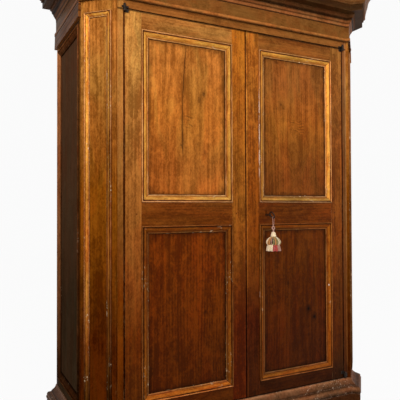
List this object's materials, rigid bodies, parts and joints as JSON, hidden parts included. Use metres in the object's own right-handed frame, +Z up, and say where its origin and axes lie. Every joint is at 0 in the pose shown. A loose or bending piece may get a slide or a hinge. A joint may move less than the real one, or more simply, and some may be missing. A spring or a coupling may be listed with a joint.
{
  "type": "two-door cupboard",
  "caption": "Tall walnut cupboard with canted front corners, framed and panelled doors on pin hinges, moulded plinth and cornice, bun feet, and a key with a hanging tassel",
  "frame": {"origin": "on the floor, at the middle of the bounding box in X and Y", "axes": "+Z up; the doors face -Y and the back is toward +Y; +X is to the right for a viewer who faces the doors"},
  "size_m": [1.868, 0.857, 2.444],
  "materials": {
    "frame_wood": "waxed walnut, honey brown, worn",
    "panel_wood": "waxed figured walnut",
    "moulding_wood": "waxed walnut mouldings, rubbed pale on the edges",
    "inner_wood": "bare softwood, darkened with age",
    "iron": "dark wrought iron, rubbed",
    "tassel_silk": "faded cream and red silk",
    "cord_silk": "twisted silk cord"
  },
  "bodies": {
    "carcass": {"feet": "frame_wood", "corner_blocks": "inner_wood", "base_board": "inner_wood", "plinth_boards": "frame_wood", "base_moulding": "moulding_wood", "front_post_left": "frame_wood", "front_post_right": "frame_wood", "rear_post_left": "frame_wood", "rear_post_right": "frame_wood", "cant_board_left": "frame_wood", "cant_board_right": "frame_wood", "cant_moulding_left": "moulding_wood", "cant_moulding_right": "moulding_wood", "side_rails_left": "frame_wood", "side_rails_right": "frame_wood", "side_panel_left": "panel_wood", "side_panel_right": "panel_wood", "side_moulding_left": "moulding_wood", "side_moulding_right": "moulding_wood", "front_rails": "frame_wood", "floor_board": "inner_wood", "top_board": "inner_wood", "back_boards": "inner_wood", "shelves": "inner_wood", "shelf_cleats": "inner_wood", "neck_moulding": "moulding_wood", "frieze_boards": "frame_wood", "bed_moulding": "moulding_wood", "corona_boards": "frame_wood", "crown_moulding": "moulding_wood", "dust_board": "inner_wood", "hinge_pintles": "iron"},
    "left_door": {"left_hinge_stile": "frame_wood", "left_meeting_stile": "frame_wood", "left_rails": "frame_wood", "left_upper_panel": "panel_wood", "left_lower_panel": "panel_wood", "left_upper_moulding": "moulding_wood", "left_lower_moulding": "moulding_wood", "left_hinge_eyes": "iron", "left_pegs": "frame_wood", "lock_keeper": "iron", "bolt_guides": "iron"},
    "right_door": {"right_hinge_stile": "frame_wood", "right_meeting_stile": "frame_wood", "right_rails": "frame_wood", "right_upper_panel": "panel_wood", "right_lower_panel": "panel_wood", "right_upper_moulding": "moulding_wood", "right_lower_moulding": "moulding_wood", "right_hinge_eyes": "iron", "right_pegs": "frame_wood", "lock_case": "iron"},
    "lock_bolt": {"lock_bolt": "iron"},
    "key": {"key": "iron"},
    "tassel": {"tassel_cord": "cord_silk", "tassel": "tassel_silk"},
    "upper_bolt": {"upper_bolt": "iron"},
    "lower_bolt": {"lower_bolt": "iron"}
  },
  "joints": [
    {"name": "left_door_hinge", "type": "hinge", "parent": "carcass", "child": "left_door", "pos_m": [-0.6232, -0.21588, 1.16], "axis": [0, 0, -1], "range_deg": [0, 160]},
    {"name": "right_door_hinge", "type": "hinge", "parent": "carcass", "child": "right_door", "pos_m": [0.6232, -0.21588, 1.16], "axis": [0, 0, 1], "range_deg": [0, 160]},
    {"name": "key_turn", "type": "hinge", "parent": "right_door", "child": "key", "pos_m": [0.119, -0.25848, 1.152], "axis": [0, 1, 0], "range_deg": [0, 180], "deforming": ["tassel_cord"]},
    {"name": "lock_bolt_slide", "type": "slide", "parent": "right_door", "child": "lock_bolt", "axis": [-1, 0, 0], "range_m": [0, 0.024]},
    {"name": "tassel_swing", "type": "hinge", "parent": "right_door", "child": "tassel", "pos_m": [0.12576, -0.25848, 1.1375], "axis": [0, 1, 0], "range_deg": [-45, 45]},
    {"name": "upper_bolt_slide", "type": "slide", "parent": "left_door", "child": "upper_bolt", "axis": [0, 0, 1], "range_m": [0, 0.014]},
    {"name": "lower_bolt_slide", "type": "slide", "parent": "left_door", "child": "lower_bolt", "axis": [0, 0, -1], "range_m": [0, 0.014]}
  ],
  "couplings": [
    {"joint": "key_turn", "follows": "lock_bolt_slide", "rad_per_m": 130.9}
  ]
}
